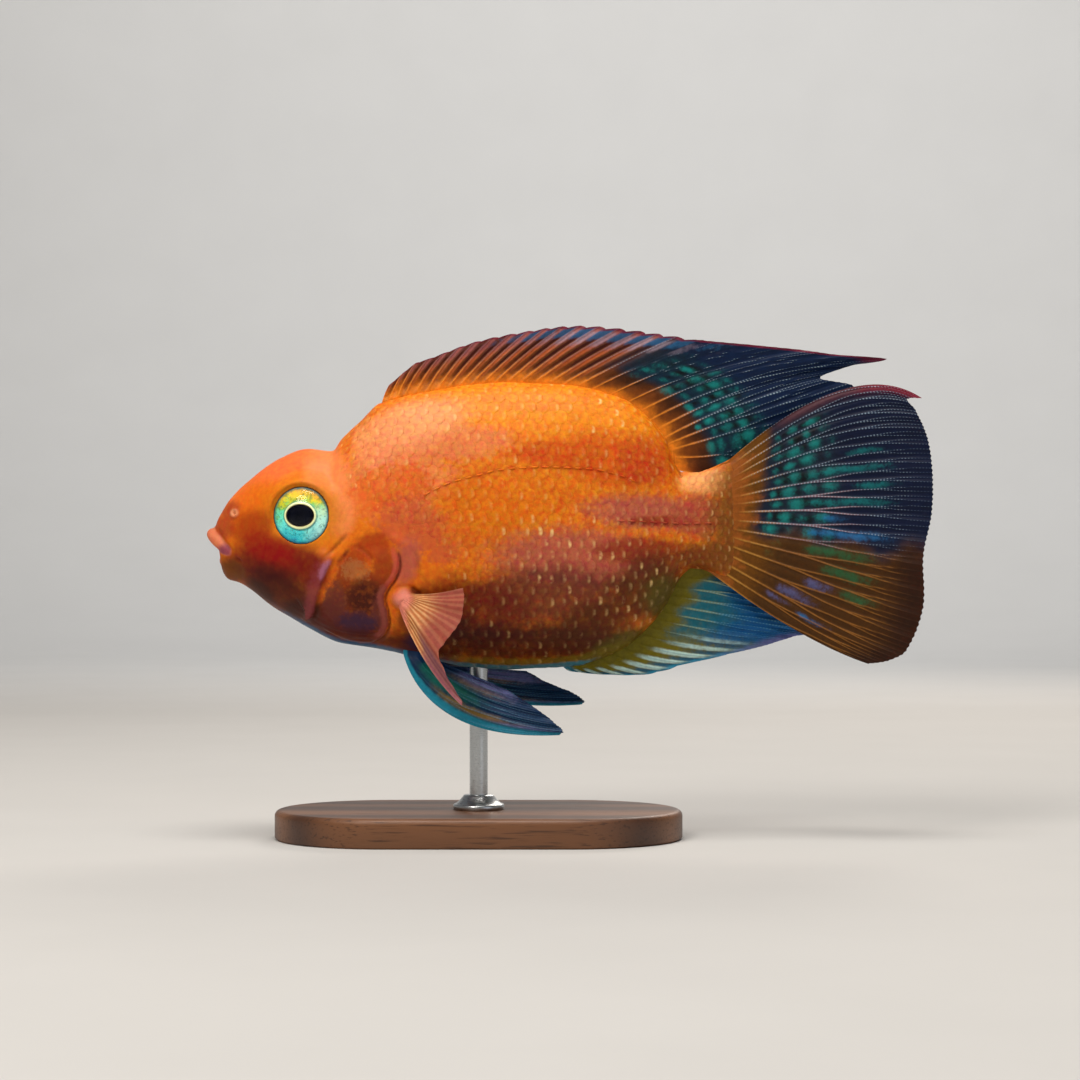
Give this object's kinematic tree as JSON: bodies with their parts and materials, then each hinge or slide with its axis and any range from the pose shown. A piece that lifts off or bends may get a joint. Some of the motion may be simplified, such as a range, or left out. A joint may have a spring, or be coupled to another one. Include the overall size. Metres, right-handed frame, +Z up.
{
  "type": "blood parrot cichlid model",
  "caption": "Still, life-size blood parrot cichlid with ridged fins and raised gill covers, held level by one rod on an oval-ended base.",
  "frame": {"origin": "centre of the underside of the stand's base, on the surface it stands on", "axes": "+Z up, +X along the fish from its lips to its tail, -Y the fish's left side, which the picture shows"},
  "size_m": [0.1986, 0.0808, 0.141],
  "materials": {
    "cheek_skin": "satin",
    "lip_skin": "satin",
    "eye": "gloss",
    "scaled_skin": "satin",
    "dorsal_fin": "satin",
    "caudal_fin": "satin",
    "anal_fin": "satin",
    "pelvic_fin": "satin",
    "pectoral_fin": "satin",
    "stand_wood": "oiled",
    "stand_steel": "brushed"
  },
  "bodies": {
    "root": {"head": "cheek_skin", "upper_lip": "lip_skin", "lower_jaw": "cheek_skin", "gill_cover_left": "cheek_skin", "gill_cover_right": "cheek_skin", "eye_left": "eye", "eye_right": "eye", "torso": "scaled_skin", "tail_stalk": "scaled_skin", "dorsal_fin": "dorsal_fin", "caudal_fin": "caudal_fin", "anal_fin": "anal_fin", "pelvic_fin_left": "pelvic_fin", "pelvic_fin_right": "pelvic_fin", "pectoral_fin_left": "pectoral_fin", "pectoral_fin_right": "pectoral_fin", "stand_base": "stand_wood", "stand_collar": "stand_steel", "stand_rod": "stand_steel"}
  },
  "joints": []
}
